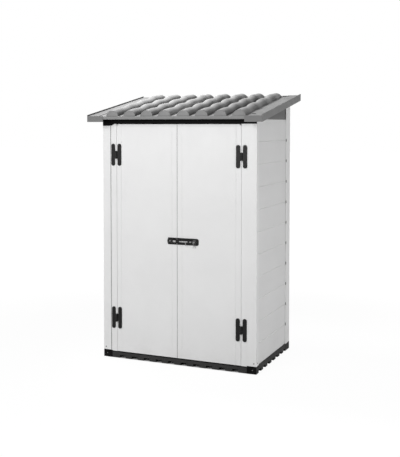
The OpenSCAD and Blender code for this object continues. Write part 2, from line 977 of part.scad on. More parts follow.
// Half outline of a tile row, less a wall: a flat front, the courses and a rounded rear end
function tile_outline(inset) = [
    [wide_r - inset, inset],
    [wide_r - inset, course_rise * course_l],
    for (course = [0:tile_courses - 1], share = course_steps)
        if (course > 0 || share > course_rise)
            if (course * course_l + share * course_l < tile_run - tile_end_l)
                [course_r(share) - inset, (course + share) * course_l],
    for (turn = [0:18:72])
        [
            (narrow_r - inset) * cos(turn),
            tile_run - tile_end_l + (tile_end_l - inset) * sin(turn)
        ]
];

module tile_body(inset) {
    outline = tile_outline(inset);
    last = outline[len(outline) - 1];
    rotate([0, 0, 90])
    rotate_extrude()
    polygon(concat([[0, inset]], outline, [[0, last[1]]]));
}

module at_tile_rows() {
    for (row = [0:tile_rows - 1])
        translate([tile_first_x + row * tile_pitch, tile_y0, sheet_z(tile_y0) - tile_sink])
        rotate([roof_slope - 90, 0, 0])
        children();
}

// One of the roof's two panels: a sheet with lips at its ends and tile rows that are hollow below.
// The sheet starts as a thick slab, so that one cut makes its underside and opens the tiles.
module roof_panel(side) {
    edge_gap = 6;
    lip_t = 4;
    x0 = 0.5;
    x1 = roof_w / 2 - side * panel_joint_x - verge_wall - edge_gap;
    y0 = roof_front_y + verge_wall + 1;
    y1 = roof_rear_y - verge_wall - 1;
    color(roof_grey)
    translate([panel_joint_x, 0, 0])
    on_side(side) {
        difference() {
            union() {
                sloped_bar(x0, x1, y0, y1, -tile_w, 0);
                at_tile_rows()
                tile_body(0);
            }
            at_tile_rows()
            tile_body(tile_wall);
            sloped_bar(x0 - 1, x1 + 1, y0 - 1, y1 + 1, -2 * tile_w, -sheet_t);
        }
        sloped_bar(x0, x1, y0, y0 + lip_t, -sheet_lip_h, -sheet_t / 2);
        sloped_bar(x0, x1, y1 - lip_t, y1, -sheet_lip_h, -sheet_t / 2);
    }
}

// Edge trim: a top over the roof sheet, a drop with a raised rim, a front block and a rear end
module verge(side) {
    x1 = roof_w / 2;
    y0 = roof_front_y;
    y1 = roof_rear_y;
    top = fit + 3;
    foot_w = 20;
    color(trim_grey)
    on_side(side)
    union() {
        sloped_bar(x1 - verge_w, x1, y0, y1, fit, top);
        sloped_bar(x1 - verge_wall, x1, y0, y1, -verge_drop, rim_h);
        sloped_bar(x1 - foot_w, x1, y0, y1, -verge_drop, -verge_drop + verge_wall);
        sloped_bar(x1 - verge_block_w, x1, y0, y0 + verge_wall, -verge_drop, top);
        sloped_bar(x1 - verge_w, x1, y1 - verge_wall, y1, -verge_drop, top);
    }
}

base_floor();
corner_foot_caps();
front_post(-1);  // post_front_left
front_post(1);  // post_front_right
rear_post(-1);  // post_rear_left
rear_post(1);  // post_rear_right
for (i = planks) {
    side_plank(-1, i);
    side_plank(1, i);
    rear_plank(i);
}
gable_infills();
rear_top_board();
door_jambs();
lintel();
post_top_caps();
door(-1);  // door_left
door(1);  // door_right
hinge_jamb_leaves();
hinge_door_leaves(-1);  // hinge_leaves_left
hinge_door_leaves(1);  // hinge_leaves_right
hinge_pins();
latch_keeper();
keeper_sleeve();
latch_plate();
bolt();
lock_cylinder();
key_set();
roof_panel(-1);  // roof_panel_left
roof_panel(1);  // roof_panel_right
verge(-1);  // verge_left
verge(1);  // verge_right
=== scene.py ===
"""Dresses the garden shed: its finishes, its tiled roof, its fixings and a plain studio."""

import json
import math

import bmesh
import bpy
from bpy.props import FloatProperty, FloatVectorProperty, IntProperty, PointerProperty
from mathutils import Matrix, Vector

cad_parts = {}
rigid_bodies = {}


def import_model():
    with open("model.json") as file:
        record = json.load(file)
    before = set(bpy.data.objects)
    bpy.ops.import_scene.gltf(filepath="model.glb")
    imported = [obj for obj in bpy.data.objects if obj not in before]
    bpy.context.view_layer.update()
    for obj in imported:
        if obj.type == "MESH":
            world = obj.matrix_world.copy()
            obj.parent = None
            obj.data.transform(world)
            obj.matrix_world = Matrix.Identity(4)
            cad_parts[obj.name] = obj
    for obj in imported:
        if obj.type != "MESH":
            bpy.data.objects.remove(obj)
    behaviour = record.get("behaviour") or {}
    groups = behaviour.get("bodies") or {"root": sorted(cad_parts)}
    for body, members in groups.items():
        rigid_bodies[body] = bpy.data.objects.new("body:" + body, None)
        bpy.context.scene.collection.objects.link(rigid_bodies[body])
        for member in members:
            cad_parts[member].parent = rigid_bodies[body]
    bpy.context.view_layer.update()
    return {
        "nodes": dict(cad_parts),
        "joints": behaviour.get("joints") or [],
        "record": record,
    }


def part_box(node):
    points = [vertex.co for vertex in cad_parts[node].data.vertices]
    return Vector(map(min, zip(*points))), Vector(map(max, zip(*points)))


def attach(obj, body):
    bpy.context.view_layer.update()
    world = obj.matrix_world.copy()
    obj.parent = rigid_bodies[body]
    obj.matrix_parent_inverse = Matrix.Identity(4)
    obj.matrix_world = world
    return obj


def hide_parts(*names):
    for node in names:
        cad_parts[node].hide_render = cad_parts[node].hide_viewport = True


bl_info = {
    "name": "Garden Shed Finisher",
    "version": (1, 0, 0),
    "blender": (4, 5, 0),
    "location": "3D View > Sidebar > Garden Shed",
    "description": "Gives the garden shed its finishes, tiled roof, fixings and studio",
    "category": "Object",
}

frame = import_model()
SLOT_OF_NODE = {part["node"]: part["material_slot"] for part in frame["record"]["subparts"]}
SIDES = (-1, 1)


# Settings


def color_setting(name, shade, description):
    """A neutral colour of one shade."""
    return FloatVectorProperty(
        name=name,
        description=description,
        subtype="COLOR",
        size=3,
        min=0,
        max=1,
        default=(shade, shade, shade),
    )


def length_setting(name, description, default):
    """A length in metres."""
    return FloatProperty(
        name=name,
        description=description,
        default=default,
        min=0,
        max=2,
        unit="LENGTH",
        subtype="DISTANCE",
        precision=4,
    )


def power_setting(name, description, default):
    """A lamp's power in watts."""
    return FloatProperty(name=name, description=description, default=default, min=0, unit="POWER")


class ShedColors(bpy.types.PropertyGroup):
    """Colours of the shed's plastics and metals."""

    frame_white: color_setting("Frame", 0.84, "Posts, doors and jambs")
    wall_white: color_setting("Walls", 0.8, "Stacked planks")
    tile_grey: color_setting("Tiles", 0.27, "The roof's two tiled panels")
    trim_grey: color_setting("Verges", 0.21, "Edge trims of the roof")
    board_grey: color_setting("Boards", 0.072, "Boards between walls and roof")
    base_grey: color_setting("Base", 0.05, "Floor and its feet")
    cap_black: color_setting("Caps", 0.006, "Bar over the doors and post caps")
    hinge_black: color_setting("Hinges", 0.01, "Hinges and latch plates")
    zinc: color_setting("Zinc", 0.2, "Bolt, lock, keys and pins")


class ShedRoof(bpy.types.PropertyGroup):
    """Sizes of the roof's two tiled panels."""

    slope: FloatProperty(
        name="Slope",
        description="Slope of the roof",
        default=math.radians(10.4),
        min=0,
        max=math.radians(30),
        unit="ROTATION",
        subtype="ANGLE",
    )
    rows: IntProperty(name="Rows", description="Tile rows on one panel", default=4, min=1, max=8)
    courses: IntProperty(
        name="Courses", description="Tiles along one row", default=4, min=1, max=8
    )
    pitch: length_setting("Pitch", "Distance between two tile rows", 0.1385)
    first_row: length_setting("First row", "From the joint to the nearest row", 0.0725)
    tile_width: length_setting("Tile width", "Width of a row where it is widest", 0.096)
    neck_width: length_setting("Neck width", "Width of a row where it is narrowest", 0.081)
    sink: length_setting("Sink", "Depth of the rows' axes below the sheet's top", 0.007)
    plate_step: length_setting("Plate step", "From the fascia back to the tiles' fronts", 0.005)
    course: length_setting("Course", "Length of one tile along a row", 0.2016)
    rear_border: length_setting("Rear border", "Flat border behind the rows", 0.036)
    end_length: length_setting("End length", "Length of a row's rounded rear end", 0.052)
    nose_step: length_setting("Nose step", "Height of each tile's edge over the next", 0.0016)
    lip: length_setting("Lip", "Height of the lips at the front and the rear", 0.022)
    sheet: length_setting("Sheet", "Thickness of the moulded sheet", 0.0042)


class ShedFixings(bpy.types.PropertyGroup):
    """Sizes of the plugs and screws."""

    plug_height: length_setting("Plug height", "Height of an oval plug in a rear post", 0.0235)
    plug_width: length_setting("Plug width", "Width of that plug", 0.011)
    plug_inset: length_setting("Plug inset", "From the rear post's front edge to a plug", 0.006)
    post_screw: length_setting("Post screw", "Radius of the screws at the posts' feet", 0.0038)
    hinge_screw: length_setting("Hinge screw", "Radius of the screws in the hinges", 0.0042)
    latch_screw: length_setting("Latch screw", "Radius of the screws in the latch", 0.0036)


class ShedShadeStrips(bpy.types.PropertyGroup):
    """Sizes of the thin black strips put as painted shade in gaps and at steps."""

    # Each strip is a black piece standing for shade: the shadow line under the doors, the shaded
    # step by the left post, the gaps at the boards and the door seam
    sill_height: length_setting("Sill height", "Height of the shade_strip under the doors", 0.0065)
    sill_proud: length_setting("Sill depth", "How far that shade_strip stands out", 0.0012)
    door_gap: length_setting("Door gap", "Room between that shade_strip and the doors", 0.0012)
    end_gap: length_setting("End gap", "Room between that shade_strip and the foot caps", 0.0008)
    joint_width: length_setting("Joint width", "Width of the shade_strip beside the left post", 0.0034)
    joint_proud: length_setting("Joint depth", "How far the upright seals stand out", 0.0004)
    edge_proud: length_setting("Edge depth", "Thickness of the left door's edge shade_strip", 0.0008)
    board_width: length_setting("Board width", "Width of the seals behind the boards", 0.015)
    board_height: length_setting("Board height", "Height of those seals", 0.105)


class ShedStudio(bpy.types.PropertyGroup):
    """Camera, lamps and floor."""

    eye: FloatVectorProperty(
        name="Eye",
        description="Where the camera stands",
        default=(2.4843, -5.7106, 1.7191),
        unit="LENGTH",
        subtype="TRANSLATION",
        size=3,
    )
    turn: FloatProperty(
        name="Turn",
        description="Turn of the camera to the left",
        default=math.radians(23.26),
        unit="ROTATION",
        subtype="ANGLE",
    )
    tilt: FloatProperty(
        name="Tilt",
        description="Tilt of the camera downwards",
        default=math.radians(2.5),
        unit="ROTATION",
        subtype="ANGLE",
    )
    lens: FloatProperty(
        name="Lens", description="Focal length", default=65.63, min=10, unit="CAMERA"
    )
    shift: FloatProperty(name="Shift", description="Upright shift of the lens", default=-0.1464)
    room_light: FloatProperty(
        name="Room light", description="Light from all round", default=0.2, min=0
    )
    key_power: power_setting("Key power", "Power of the lamp before the doors", 126)
    left_power: power_setting("Left power", "Power of the lamp over the roof's left", 16)
    rear_power: power_setting("Rear power", "Power of the lamp behind the shed", 45)
    right_power: power_setting("Right power", "Power of the lamp on the right", 64)


# Shader groups


class Wiring:
    """Adds nodes to a tree and joins their sockets."""

    def __init__(self, tree):
        self.tree = tree

    def node(self, kind, **settings):
        """A new node of a kind, with its own settings."""
        made = self.tree.nodes.new(kind)
        for name, value in settings.items():
            setattr(made, name, value)
        return made

    def join(self, source, target):
        """Links an output to an input."""
        self.tree.links.new(source, target)

    def feed(self, target, value):
        """Sets a socket to a value, or joins it to another socket."""
        if isinstance(value, bpy.types.NodeSocket):
            self.join(value, target)
        elif value is not None:
            target.default_value = value

    def math(self, operation, first, second=None, third=None, clamp=False):
        """One sum of up to three values or sockets."""
        made = self.node("ShaderNodeMath", operation=operation, use_clamp=clamp)
        for socket, value in zip(made.inputs, (first, second, third)):
            self.feed(socket, value)
        return made.outputs[0]

    def ramp(self, value, low, high, start=0.0, end=1.0):
        """Smooth step of a value between two levels."""
        made = self.node("ShaderNodeMapRange", interpolation_type="SMOOTHSTEP")
        for name, number in zip(
            ("Value", "From Min", "From Max", "To Min", "To Max"), (value, low, high, start, end)
        ):
            self.feed(made.inputs[name], number)
        return made.outputs["Result"]

    def mix(self, factor, first, second):
        """The first colour where the factor is 0 and the second where it is 1."""
        made = self.node("ShaderNodeMix", data_type="RGBA")
        # The node lists its sockets for numbers and vectors before those for colours.
        color_a, color_b, result = 6, 7, 2
        self.feed(made.inputs[0], factor)
        self.feed(made.inputs[color_a], first)
        self.feed(made.inputs[color_b], second)
        return made.outputs[result]

    def noise(self, vector, scale, detail, roughness=0.55):
        """Cloudy noise around one half."""
        made = self.node("ShaderNodeTexNoise")
        self.feed(made.inputs["Vector"], vector)
        self.feed(made.inputs["Scale"], scale)
        self.feed(made.inputs["Detail"], detail)
        self.feed(made.inputs["Roughness"], roughness)
        return made.outputs[0]

    def stretch(self, vector, scale):
        """A place scaled along its axes."""
        made = self.node("ShaderNodeMapping", vector_type="POINT")
        self.feed(made.inputs["Vector"], vector)
        self.feed(made.inputs["Scale"], scale)
        return made.outputs["Vector"]


def shader_group(name, inputs, outputs):
    """An empty shader group with named sockets, its inner wiring and its two end nodes."""
    group = bpy.data.node_groups.new(name, "ShaderNodeTree")
    for label, kind, value in inputs:
        socket = group.interface.new_socket(name=label, in_out="INPUT", socket_type=kind)
        if value is not None:
            socket.default_value = value
    for label, kind in outputs:
        group.interface.new_socket(name=label, in_out="OUTPUT", socket_type=kind)
    wiring = Wiring(group)
    return group, wiring, wiring.node("NodeGroupInput"), wiring.node("NodeGroupOutput")


def make_grain_group():
    """Fine moulded or drawn grain: a height for bumps and a mask for gloss."""
    group, w, given, result = shader_group(
        "Shed Grain",
        [
            ("Vector", "NodeSocketVector", None),
            ("Stretch", "NodeSocketVector", (1, 1, 1)),
            ("Scale", "NodeSocketFloat", 400.0),
        ],
        [("Height", "NodeSocketFloat"), ("Mask", "NodeSocketFloat")],
    )
    place = w.stretch(given.outputs["Vector"], given.outputs["Stretch"])
    fine = w.noise(place, given.outputs["Scale"], detail=2)
    broad = w.noise(place, w.math("MULTIPLY", given.outputs["Scale"], 0.11), detail=2)
    height = w.math("ADD", w.math("MULTIPLY", fine, 0.7), w.math("MULTIPLY", broad, 0.3))
    w.join(height, result.inputs["Height"])
    w.join(w.ramp(broad, 0.35, 0.65), result.inputs["Mask"])
    return group


def make_tone_group():
    """Slow change of a colour over the surface, as in large mouldings."""
    group, w, given, result = shader_group(
        "Shed Tone",
        [
            ("Vector", "NodeSocketVector", None),
            ("Color", "NodeSocketColor", (1, 1, 1, 1)),
            ("Amount", "NodeSocketFloat", 0.03),
            ("Scale", "NodeSocketFloat", 3.0),
        ],
        [("Color", "NodeSocketColor")],
    )
    patch = w.noise(given.outputs["Vector"], given.outputs["Scale"], detail=4)
    share = w.math("MULTIPLY", w.ramp(patch, 0.3, 0.7), given.outputs["Amount"])
    w.join(w.mix(share, given.outputs["Color"], (0, 0, 0, 1)), result.inputs["Color"])
    return group


def make_dust_group():
    """Dust that settles on upward faces and is splashed on the lowest part of the walls."""
    group, w, given, result = shader_group(
        "Shed Dust",
        [
            ("Vector", "NodeSocketVector", None),
            ("Color", "NodeSocketColor", (1, 1, 1, 1)),
            ("Dust Color", "NodeSocketColor", (0.45, 0.44, 0.42, 1)),
            ("Settled", "NodeSocketFloat", 0.15),
            ("Splashed", "NodeSocketFloat", 0.15),
            ("Splash Height", "NodeSocketFloat", 0.25),
            ("Roughness", "NodeSocketFloat", 0.4),
        ],
        [("Color", "NodeSocketColor"), ("Roughness", "NodeSocketFloat")],
    )
    place = w.node("ShaderNodeSeparateXYZ")
    w.join(given.outputs["Vector"], place.inputs[0])
    normal = w.node("ShaderNodeSeparateXYZ")
    w.join(w.node("ShaderNodeNewGeometry").outputs["Normal"], normal.inputs[0])
    patches = w.ramp(w.noise(given.outputs["Vector"], 9.0, detail=5), 0.38, 0.68)
    upward = w.ramp(normal.outputs["Z"], 0.55, 0.95)
    low = w.ramp(place.outputs["Z"], given.outputs["Splash Height"], 0.0)
    settled = w.math("MULTIPLY", w.math("MULTIPLY", upward, patches), given.outputs["Settled"])
    splashed = w.math("MULTIPLY", w.math("MULTIPLY", low, patches), given.outputs["Splashed"])
    share = w.math("ADD", settled, splashed, clamp=True)
    tint = w.mix(share, given.outputs["Color"], given.outputs["Dust Color"])
    w.join(tint, result.inputs["Color"])
    dull = w.math("MULTIPLY_ADD", share, 0.5, given.outputs["Roughness"])
    w.join(dull, result.inputs["Roughness"])
    return group


def make_wear_group():
    """Rubbed patches, where paint or plating is thinner and duller."""
    group, w, given, result = shader_group(
        "Shed Wear",
        [
            ("Vector", "NodeSocketVector", None),
            ("Color", "NodeSocketColor", (0, 0, 0, 1)),
            ("Worn Color", "NodeSocketColor", (0.2, 0.2, 0.2, 1)),
            ("Amount", "NodeSocketFloat", 0.3),
            ("Roughness", "NodeSocketFloat", 0.4),
        ],
        [("Color", "NodeSocketColor"), ("Roughness", "NodeSocketFloat")],
    )
    scuffs = w.ramp(w.noise(given.outputs["Vector"], 55.0, detail=6, roughness=0.7), 0.56, 0.74)
    share = w.math("MULTIPLY", scuffs, given.outputs["Amount"])
    tint = w.mix(share, given.outputs["Color"], given.outputs["Worn Color"])
    w.join(tint, result.inputs["Color"])
    dull = w.math("MULTIPLY_ADD", scuffs, 0.15, given.outputs["Roughness"])
    w.join(dull, result.inputs["Roughness"])
    return group


GROUP_MAKERS = {
    "Shed Grain": make_grain_group,
    "Shed Tone": make_tone_group,
    "Shed Dust": make_dust_group,
    "Shed Wear": make_wear_group,
}


def place_group(wiring, name, **values):
    """Puts a shared group into a material and feeds its sockets by name."""
    made = wiring.node("ShaderNodeGroup")
    made.node_tree = bpy.data.node_groups.get(name) or GROUP_MAKERS[name]()
    for label, value in values.items():
        wiring.feed(made.inputs[label.replace("_", " ")], value)
    return made


# Materials


# How far a hollow is felt, how open it may be where the painted shade is full, and the painted
# shade's colour
PAINTED_SHADE_REACH = 0.1
PAINTED_SHADE_LEVEL = 0.4
PAINTED_SHADE_COLOR = (0.01, 0.01, 0.01, 1)


def start_material(name):
    """A material with a Principled shader: its wiring, the shader and the object's own places."""
    material = bpy.data.materials.new(name)
    material.use_nodes = True
    material.node_tree.nodes.clear()
    w = Wiring(material.node_tree)
    shader = w.node("ShaderNodeBsdfPrincipled")
    w.join(shader.outputs["BSDF"], w.node("ShaderNodeOutputMaterial").inputs["Surface"])
    return material, w, shader, w.node("ShaderNodeTexCoord").outputs["Object"]


def add_bump(w, shader, height, depth):
    """Small relief of the surface, depth metres high."""
    bump = w.node("ShaderNodeBump")
    bump.inputs["Distance"].default_value = depth
    w.join(height, bump.inputs["Height"])
    w.join(bump.outputs["Normal"], shader.inputs["Normal"])


def opaque(color):
    """The colour with full alpha."""
    return (*color[:3], 1.0)


def paint_shade_in_hollows(w, color, amount):
    """Painted shade: darkens the colour in hollows and corners of the piece itself, as far as the
    piece hides them from its surroundings.
    """
    hollow = w.node("ShaderNodeAmbientOcclusion", only_local=True, samples=8)
    hollow.inputs["Distance"].default_value = PAINTED_SHADE_REACH
    share = w.ramp(hollow.outputs["AO"], PAINTED_SHADE_LEVEL, 1.0, start=amount, end=0.0)
    return w.mix(share, color, PAINTED_SHADE_COLOR)


def moulded_plastic(
    name,
    color,
    roughness,
    stretch,
    grain,
    depth,
    tone=0.03,
    settled=0.1,
    splashed=0.12,
    sheen=0.5,
    painted_shade=0.0,
):
    """Moulded or extruded plastic with a directed grain, slow tone changes, some dust and, where
    asked, painted shade in its hollows.
    """
    material, w, shader, place = start_material(name)
    grained = place_group(w, "Shed Grain", Vector=place, Stretch=stretch, Scale=grain)
    toned = place_group(w, "Shed Tone", Vector=place, Color=opaque(color), Amount=tone)
    gloss = w.math("MULTIPLY_ADD", grained.outputs["Mask"], 0.08, roughness)
    dusted = place_group(
        w,
        "Shed Dust",
        Vector=place,
        Color=toned.outputs["Color"],
        Settled=settled,
        Splashed=splashed,
        Roughness=gloss,
    )
    tint = dusted.outputs["Color"]
    # painted shade: a darker colour where the piece's own hollows are occluded
    if painted_shade:
        tint = paint_shade_in_hollows(w, tint, painted_shade)
    w.join(tint, shader.inputs["Base Color"])
    w.join(dusted.outputs["Roughness"], shader.inputs["Roughness"])
    shader.inputs["Specular IOR Level"].default_value = sheen
    add_bump(w, shader, grained.outputs["Height"], depth)
    return material


def worn_metal(name, color, stretch, grain, depth, worn, amount, roughness, sheen, metallic):
    """Metal with a grain and rubbed patches, under a coat or bare."""
    material, w, shader, place = start_material(name)
    grained = place_group(w, "Shed Grain", Vector=place, Stretch=stretch, Scale=grain)
    rubbed = place_group(
        w,
        "Shed Wear",
        Vector=place,
        Color=opaque(color),
        Worn_Color=(worn, worn, worn, 1),
        Amount=amount,
        Roughness=roughness,
    )
    w.join(rubbed.outputs["Color"], shader.inputs["Base Color"])
    w.join(rubbed.outputs["Roughness"], shader.inputs["Roughness"])
    shader.inputs["Metallic"].default_value = metallic
    shader.inputs["Specular IOR Level"].default_value = sheen
    add_bump(w, shader, grained.outputs["Height"], depth)
    return material


UPRIGHT_GRAIN = (1, 1, 0.02)
SIDEWAYS_GRAIN = (0.05, 0.02, 1)
EVEN_GRAIN = (1, 1, 1)
DRAWN_GRAIN = (0.08, 1, 1)

# slot: maker, colour setting, values
FINISHES = {
    "white_frame": (
        moulded_plastic,
        "frame_white",
        dict(roughness=0.36, stretch=UPRIGHT_GRAIN, grain=320.0, depth=0.00006),
    ),
    "white_wall": (
        moulded_plastic,
        "wall_white",
        dict(roughness=0.42, stretch=SIDEWAYS_GRAIN, grain=260.0, depth=0.0001),
    ),
    "roof_tile": (
        moulded_plastic,
        "tile_grey",
        dict(
            roughness=0.3,
            stretch=EVEN_GRAIN,
            grain=120.0,
            depth=0.00002,
            tone=0.1,
            settled=0.03,
            sheen=0.12,
            # painted shade in the valleys between the tile rows and under the noses
            painted_shade=0.85,
        ),
    ),
    "roof_trim": (
        moulded_plastic,
        "trim_grey",
        dict(
            roughness=0.34,
            stretch=EVEN_GRAIN,
            grain=120.0,
            depth=0.00001,
            tone=0.06,
            settled=0.03,
            sheen=0.08,
        ),
    ),
    "infill_board": (
        moulded_plastic,
        "board_grey",
        dict(roughness=0.5, stretch=SIDEWAYS_GRAIN, grain=300.0, depth=0.0001),
    ),
    "base_plastic": (
        moulded_plastic,
        "base_grey",
        dict(
            roughness=0.5,
            stretch=EVEN_GRAIN,
            grain=420.0,
            depth=0.0001,
            tone=0.12,
            settled=0.03,
            splashed=0.02,
            sheen=0.02,
            # painted shade in the notches between the feet
            painted_shade=0.85,
        ),
    ),
    "black_plastic": (
        moulded_plastic,
        "cap_black",
        dict(
            roughness=0.4,
            stretch=EVEN_GRAIN,
            grain=600.0,
            depth=0.0001,
            tone=0.1,
            settled=0.01,
            splashed=0.01,
            sheen=0.03,
        ),
    ),
    "black_metal": (
        worn_metal,
        "hinge_black",
        dict(
            stretch=EVEN_GRAIN,
            grain=900.0,
            depth=0.00006,
            worn=0.05,
            amount=0.3,
            roughness=0.38,
            sheen=0.15,
            metallic=0.0,
        ),
    ),
    "bright_metal": (
        worn_metal,
        "zinc",
        dict(
            stretch=DRAWN_GRAIN,
            grain=1500.0,
            depth=0.00004,
            worn=0.15,
            amount=0.5,
            roughness=0.36,
            sheen=0.5,
            metallic=1.0,
        ),
    ),
}


def slot_material(slot, colors):
    """The finish of one material slot, made on first use."""
    name = f"shed_{slot}"
    if name in bpy.data.materials:
        return bpy.data.materials[name]
    make, color, values = FINISHES[slot]
    return make(name, getattr(colors, color), **values)


def paint_nodes(scene, *slots):
    """Gives the CAD nodes of these slots their finish."""
    for node, slot in SLOT_OF_NODE.items():
        if slot in slots:
            materials = frame["nodes"][node].data.materials
            materials.clear()
            materials.append(slot_material(slot, scene.shed_colors))


# Mesh helpers


SHARP_ANGLE = math.radians(35)
BAR_CORNER = 0.0012


def finish_piece(name, bm, body, slot, scene):
    """Turns a bmesh into a piece with smooth faces, its finish and the body that carries it."""
    mesh = bpy.data.meshes.new(name)
    bmesh.ops.recalc_face_normals(bm, faces=bm.faces)
    bm.to_mesh(mesh)
    bm.free()
    mesh.shade_smooth()
    mesh.set_sharp_from_angle(angle=SHARP_ANGLE)
    mesh.materials.append(slot_material(slot, scene.shed_colors))
    piece = bpy.data.objects.new(name, mesh)
    scene.collection.objects.link(piece)
    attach(piece, body)
    return piece


def bridge_rings(bm, rings, closed=True):
    """Quads between rings of equal length."""
    count = len(rings[0])
    for low, high in zip(rings, rings[1:]):
        for k in range(count if closed else count - 1):
            after = (k + 1) % count
            bm.faces.new((low[k], low[after], high[after], high[k]))


def oval_rings(bm, place, width, height, rise, outline, steps):
    """Rings of an oval form on the XY plane of place, from its outline's shares and levels."""
    turns = [math.tau * k / steps for k in range(steps)]
    rings = []
    for share, level in outline:
        across, along = share * width / 2, share * height / 2
        points = [(across * math.cos(t), along * math.sin(t), level * rise) for t in turns]
        rings.append([bm.verts.new(place @ Vector(point)) for point in points])
    return rings


def add_dome(bm, place, width, height, rise):
    """An oval button that stands on the XY plane of place."""
    outline = ((1.0, 0.0), (1.0, 0.45), (0.9, 0.75), (0.65, 0.93), (0.3, 1.0))
    rings = oval_rings(bm, place, width, height, rise, outline, steps=20)
    bridge_rings(bm, rings)
    bm.faces.new(rings[-1])


def add_screw(bm, place, radius):
    """A pan-head screw with a cross recess, standing on the XY plane of place."""
    height, recess_floor = 0.55 * radius, 0.35
    outline = ((1.0, 0.0), (1.0, 0.4), (0.9, 0.8), (0.72, 1.0))
    rings = oval_rings(bm, place, 2 * radius, 2 * radius, height, outline, steps=16)
    bridge_rings(bm, rings)
    arm, half = 0.5 * radius, 0.12 * radius
    corner = [(arm, -half), (arm, half), (half, half)]
    cross = []
    for quarter in range(4):
        turn = Matrix.Rotation(quarter * math.pi / 2, 4, "Z")
        cross += [turn @ Vector((x, y, height)) for x, y in corner]
    lip = [bm.verts.new(place @ point) for point in cross]
    floor = [bm.verts.new(place @ Vector((p.x, p.y, recess_floor * height))) for p in cross]
    bridge_rings(bm, [lip, floor])
    bm.faces.new(floor)
    edges = [
        bm.edges.get((loop[k], loop[(k + 1) % len(loop)]))
        for loop in (rings[-1], lip)
        for k in range(len(loop))
    ]
    bmesh.ops.triangle_fill(bm, use_beauty=True, edges=edges)


def add_bar(bm, low, high, direction):
    """A bar with rounded corners and softened rims, whose base faces away from direction."""
    low, high = Vector(low), Vector(high)
    place = facing((low + high) / 2, direction)
    span = place.to_3x3().inverted() @ (high - low)
    width, depth, height = (abs(value) / 2 for value in span)
    corner = min(BAR_CORNER, 0.45 * width, 0.45 * depth)
    rim = min(0.3 * corner, 0.4 * height)
    soft = 0.3 * rim
    levels = ((0.0, -height), (0.0, height - rim), (soft, height - soft), (rim, height))
    turns = 4
    rings = []
    for inset, level in levels:
        ring = []
        reach = corner - inset
        for quarter, (way_x, way_y) in enumerate(((1, 1), (-1, 1), (-1, -1), (1, -1))):
            for k in range(turns + 1):
                angle = (quarter + k / turns) * math.pi / 2
                x = way_x * (width - corner) + reach * math.cos(angle)
                y = way_y * (depth - corner) + reach * math.sin(angle)
                ring.append(bm.verts.new(place @ Vector((x, y, level))))
        rings.append(ring)
    bridge_rings(bm, rings)
    bm.faces.new(rings[0])
    bm.faces.new(rings[-1])


def facing(point, direction):
    """A place whose Z axis points out of a face."""
    turn = Vector(direction).to_track_quat("Z", "Y").to_matrix().to_4x4()
    return Matrix.Translation(Vector(point)) @ turn


# Tiled roof


# Shares of a tile's length: where its nose stands, where the nose's edge has run out
# and where its row has swelled to full width
NOSE_PLACE = 0.3
NOSE_FADE = 0.9
SWELL_END = 0.4
# Half the length over which a nose's edge rises, and how far other sections keep from it
NOSE_RUN = 0.0015
NOSE_ROOM = 0.006
# Share of its width that a row keeps at its rounded rear end
END_WIDTH = 0.8
JOINT_GAP = 0.0005
# Steps across an arch and a flat strip, and along a tile and a row's rear end
ARCH_STEPS = 22
FLAT_STEPS = 3
COURSE_STEPS = 14
END_STEPS = 10
WELD = 1e-5
RIM = 0.0018
RIM_ANGLE = math.radians(38)


def nose_height(roof, along):
    """Height of the thin edge where one tile's nose lies over the tile before it."""
    number = int((along + NOSE_RUN) / roof.course - NOSE_PLACE)
    past_edge = along - (number + NOSE_PLACE) * roof.course
    if not 0 < number < roof.courses or past_edge < NOSE_RUN:
        return 0.0
    return roof.nose_step * max(0.0, 1 - past_edge / (NOSE_FADE * roof.course))


def row_radius(roof, along):
    """Radius of a tile row at a distance along it: it swells to each nose, then narrows."""
    wide = math.hypot(roof.tile_width / 2, roof.sink)
    narrow = math.hypot(roof.neck_width / 2, roof.sink)
    number = min(int(along / roof.course), roof.courses - 1)
    share = along / roof.course - number
    if number == 0 and share < SWELL_END:
        return wide
    if share < SWELL_END:
        return narrow + (wide - narrow) * (1 - math.cos(math.pi * share / SWELL_END)) / 2
    fall = min(1.0, (share - SWELL_END) / (1 - SWELL_END))
    return wide - (wide - narrow) * (1 - math.cos(math.pi * fall)) / 2


def row_section(roof, along, length):
    """Across and up offsets of a tile row's arch at a distance along it."""
    radius = row_radius(roof, along) + nose_height(roof, along)
    widest = math.acos(roof.sink / radius)
    past_end = max(0.0, along - (length - roof.end_length)) / roof.end_length
    lift = math.sqrt(max(0.0, 1 - past_end**2))
    pull_in = END_WIDTH + (1 - END_WIDTH) * lift
    points = []
    for k in range(ARCH_STEPS + 1):
        angle = widest * (2 * k / ARCH_STEPS - 1)
        up = max(0.0, radius * math.cos(angle) - roof.sink)
        points.append((radius * math.sin(angle) * pull_in, up * lift))
    return points


def panel_section(roof, along, length, reach):
    """Across and up of a whole panel at a distance along the rows, from the joint outwards."""
    arch = row_section(roof, along, length)
    points = []
    start = 0.0
    for row in range(roof.rows):
        middle = roof.first_row - JOINT_GAP + row * roof.pitch
        flat = middle + arch[0][0] - start
        points += [(start + flat * k / FLAT_STEPS, 0.0) for k in range(FLAT_STEPS)]
        points += [(middle + across, up) for across, up in arch]
        start = middle + arch[-1][0]
    flat = reach - start
    return points + [(start + flat * k / FLAT_STEPS, 0.0) for k in range(1, FLAT_STEPS + 1)]


def section_places(roof, length):
    """Distances along the rows at which a panel has a section, closer at noses and rear end."""
    count = roof.courses * COURSE_STEPS
    noses = [(number + NOSE_PLACE) * roof.course for number in range(1, roof.courses)]
    places = [length * k / count for k in range(1, count)]
    places = [s for s in places if all(abs(s - nose) > NOSE_ROOM for nose in noses)]
    places += [nose + way * NOSE_RUN for nose in noses for way in (-2, -1, 1, 2)]
    end = length - roof.end_length
    turns = [math.radians(90 * k / END_STEPS) for k in range(END_STEPS + 1)]
    return sorted(s for s in places if s < end) + [
        end + roof.end_length * math.sin(turn) for turn in turns
    ]


